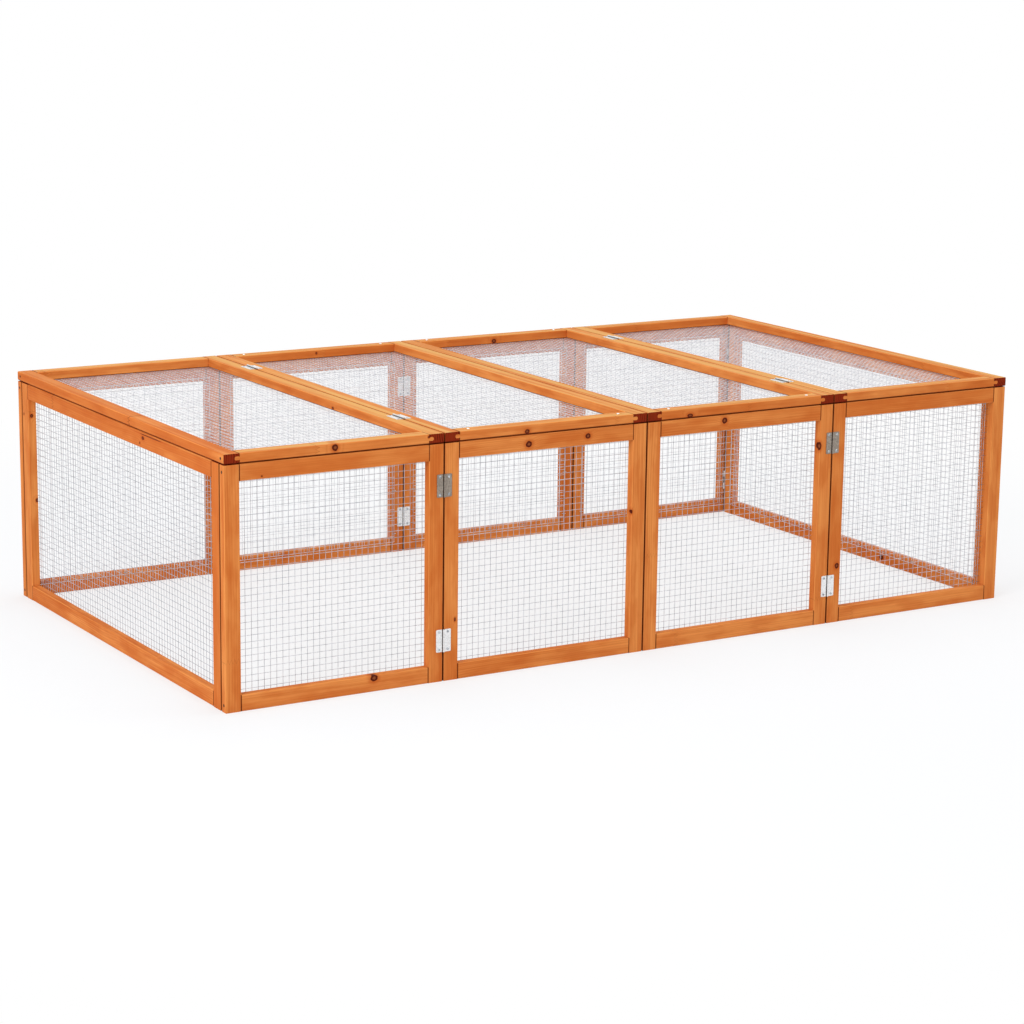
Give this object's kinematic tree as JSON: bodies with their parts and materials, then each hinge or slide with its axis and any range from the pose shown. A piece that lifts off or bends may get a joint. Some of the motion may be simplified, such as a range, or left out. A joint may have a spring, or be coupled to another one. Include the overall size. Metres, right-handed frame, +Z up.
{
  "type": "folding small-animal run",
  "caption": "Low folding run of framed wire-mesh panels with hinged walls, lift-off roof panels and two flap-over lids.",
  "frame": {"origin": "middle of the run's footprint, on the ground", "axes": "+X along the run to the right, +Y from the front wall to the back wall, +Z up"},
  "size_m": [1.815, 1.0076, 0.4838],
  "materials": {
    "timber": "satin stained fir",
    "mesh_wire": "galvanised",
    "hinge_steel": "zinc plated",
    "screw_steel": "zinc plated"
  },
  "bodies": {
    "front_1": {"front_1_hinge_leaves": "hinge_steel", "front_1_mesh": "mesh_wire", "front_1_rails": "timber", "front_1_stiles": "timber"},
    "front_2": {"front_2_hinge_leaves": "hinge_steel", "front_2_mesh": "mesh_wire", "front_2_rails": "timber", "front_2_stiles": "timber"},
    "front_3": {"front_3_hinge_leaves": "hinge_steel", "front_3_mesh": "mesh_wire", "front_3_rails": "timber", "front_3_stiles": "timber"},
    "front_4": {"front_4_hinge_leaves": "hinge_steel", "front_4_mesh": "mesh_wire", "front_4_rails": "timber", "front_4_stiles": "timber"},
    "back_1": {"back_1_hinge_leaves": "hinge_steel", "back_1_mesh": "mesh_wire", "back_1_rails": "timber", "back_1_stiles": "timber"},
    "back_2": {"back_2_hinge_leaves": "hinge_steel", "back_2_mesh": "mesh_wire", "back_2_rails": "timber", "back_2_stiles": "timber"},
    "back_3": {"back_3_hinge_leaves": "hinge_steel", "back_3_mesh": "mesh_wire", "back_3_rails": "timber", "back_3_stiles": "timber"},
    "back_4": {"back_4_hinge_leaves": "hinge_steel", "back_4_mesh": "mesh_wire", "back_4_rails": "timber", "back_4_stiles": "timber"},
    "roof_1": {"roof_1_hinge_leaves": "hinge_steel", "roof_1_mesh": "mesh_wire", "roof_1_rails": "timber", "roof_1_stiles": "timber"},
    "roof_2": {"roof_2_hinge_leaves": "hinge_steel", "roof_2_mesh": "mesh_wire", "roof_2_rails": "timber", "roof_2_screws": "screw_steel", "roof_2_stiles": "timber"},
    "roof_3": {"roof_3_hinge_leaves": "hinge_steel", "roof_3_mesh": "mesh_wire", "roof_3_rails": "timber", "roof_3_screws": "screw_steel", "roof_3_stiles": "timber"},
    "roof_4": {"roof_4_hinge_leaves": "hinge_steel", "roof_4_mesh": "mesh_wire", "roof_4_rails": "timber", "roof_4_stiles": "timber"},
    "left_side": {"left_side_hinge_leaves": "hinge_steel", "left_side_mesh": "mesh_wire", "left_side_rails": "timber", "left_side_stiles": "timber"},
    "right_side": {"right_side_hinge_leaves": "hinge_steel", "right_side_mesh": "mesh_wire", "right_side_rails": "timber", "right_side_stiles": "timber"}
  },
  "joints": [
    {"name": "fold", "type": "hinge", "parent": "left_side", "child": "front_1", "pos_m": [-0.8875, -0.48, 0], "axis": [0, 0, 1], "range_deg": [0, 90]},
    {"name": "front_2_fold", "type": "hinge", "parent": "front_1", "child": "front_2", "pos_m": [-0.45437, -0.502, 0], "axis": [0, 0, 1], "range_deg": [-180, 0]},
    {"name": "front_3_fold", "type": "hinge", "parent": "front_2", "child": "front_3", "pos_m": [0, -0.48, 0], "axis": [0, 0, 1], "range_deg": [0, 180]},
    {"name": "front_4_fold", "type": "hinge", "parent": "front_3", "child": "front_4", "pos_m": [0.45437, -0.502, 0], "axis": [0, 0, 1], "range_deg": [-180, 0]},
    {"name": "back_1_fold", "type": "hinge", "parent": "left_side", "child": "back_1", "pos_m": [-0.8875, 0.48, 0], "axis": [0, 0, 1], "range_deg": [-90, 0]},
    {"name": "back_2_fold", "type": "hinge", "parent": "back_1", "child": "back_2", "pos_m": [-0.45437, 0.502, 0], "axis": [0, 0, 1], "range_deg": [0, 180]},
    {"name": "back_3_fold", "type": "hinge", "parent": "back_2", "child": "back_3", "pos_m": [0, 0.48, 0], "axis": [0, 0, 1], "range_deg": [-180, 0]},
    {"name": "back_4_fold", "type": "hinge", "parent": "back_3", "child": "back_4", "pos_m": [0.45437, 0.502, 0], "axis": [0, 0, 1], "range_deg": [0, 180]},
    {"name": "right_side_fold", "type": "hinge", "parent": "front_4", "child": "right_side", "pos_m": [0.8875, -0.48, 0], "axis": [0, 0, 1], "range_deg": [0, 90]},
    {"name": "roof_2_lift", "type": "slide", "parent": "left_side", "child": "roof_2", "axis": [0, 0, 1], "range_m": [0, 0.5]},
    {"name": "roof_1_lid", "type": "hinge", "parent": "roof_2", "child": "roof_1", "pos_m": [-0.45437, 0, 0.482], "axis": [0, 1, 0], "range_deg": [0, 180]},
    {"name": "roof_3_lift", "type": "slide", "parent": "left_side", "child": "roof_3", "axis": [0, 0, 1], "range_m": [0, 0.5]},
    {"name": "roof_4_lid", "type": "hinge", "parent": "roof_3", "child": "roof_4", "pos_m": [0.45437, 0, 0.482], "axis": [0, -1, 0], "range_deg": [0, 180]}
  ],
  "couplings": [
    {"joint": "front_2_fold", "follows": "fold", "ratio": -2},
    {"joint": "front_3_fold", "follows": "fold", "ratio": 2},
    {"joint": "front_4_fold", "follows": "fold", "ratio": -2},
    {"joint": "back_1_fold", "follows": "fold", "ratio": -1},
    {"joint": "back_2_fold", "follows": "fold", "ratio": 2},
    {"joint": "back_3_fold", "follows": "fold", "ratio": -2},
    {"joint": "back_4_fold", "follows": "fold", "ratio": 2},
    {"joint": "right_side_fold", "follows": "fold", "ratio": 1}
  ]
}
